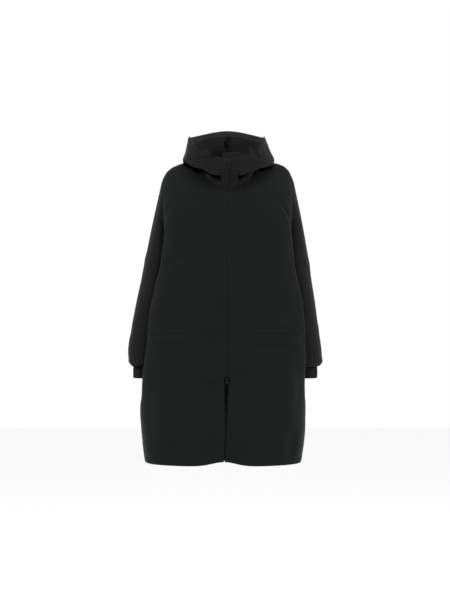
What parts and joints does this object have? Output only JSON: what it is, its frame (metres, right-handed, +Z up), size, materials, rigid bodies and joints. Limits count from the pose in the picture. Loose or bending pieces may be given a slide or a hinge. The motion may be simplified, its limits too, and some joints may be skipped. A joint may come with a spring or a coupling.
{
  "type": "parka",
  "caption": "Hooded knee-length parka of smooth near-black cloth in its worn, hollow form, with a two-way front zip open at the hem, hip seam pockets and cuffed sleeves",
  "frame": {"origin": "middle of the neck opening, level with the shoulders, where the wearer's neck holds the garment", "axes": "+Z up, -Y to the front of the garment, +X to the wearer's left"},
  "size_m": [0.6319, 0.3763, 1.0959],
  "materials": {
    "body_cloth": "smooth matt outerwear cloth",
    "sleeve_cloth": "smooth matt outerwear cloth",
    "cuff_rib": "matt",
    "zip_tape": "matt",
    "zip_metal": "satin"
  },
  "bodies": {
    "garment": {"back": "body_cloth", "front_upper_left": "body_cloth", "front_upper_right": "body_cloth", "front_lower_left": "body_cloth", "front_lower_right": "body_cloth", "pocket_welt_left": "body_cloth", "pocket_welt_right": "body_cloth", "sleeve_left": "sleeve_cloth", "sleeve_right": "sleeve_cloth", "cuff_left": "cuff_rib", "cuff_right": "cuff_rib", "hood_left": "sleeve_cloth", "hood_right": "sleeve_cloth", "chin_guard": "sleeve_cloth", "storm_flap": "body_cloth", "zip_tape": "zip_tape", "vent_tape_left": "zip_tape", "vent_tape_right": "zip_tape", "hanger_loop": "zip_tape", "slider_top": "zip_metal", "slider_bottom": "zip_metal", "snap": "zip_metal"},
    "pull_top": {"pull_top": "zip_metal"},
    "pull_bottom": {"pull_bottom": "zip_metal"}
  },
  "joints": [
    {"name": "pull_top_turn", "type": "hinge", "parent": "garment", "child": "pull_top", "pos_m": [0.006, -0.1326, -0.0034], "axis": [-1, 0, 0], "range_deg": [0, 150]},
    {"name": "pull_bottom_turn", "type": "hinge", "parent": "garment", "child": "pull_bottom", "pos_m": [-0.0018, -0.1565, -0.6869], "axis": [-1, 0, 0], "range_deg": [0, 150]}
  ]
}
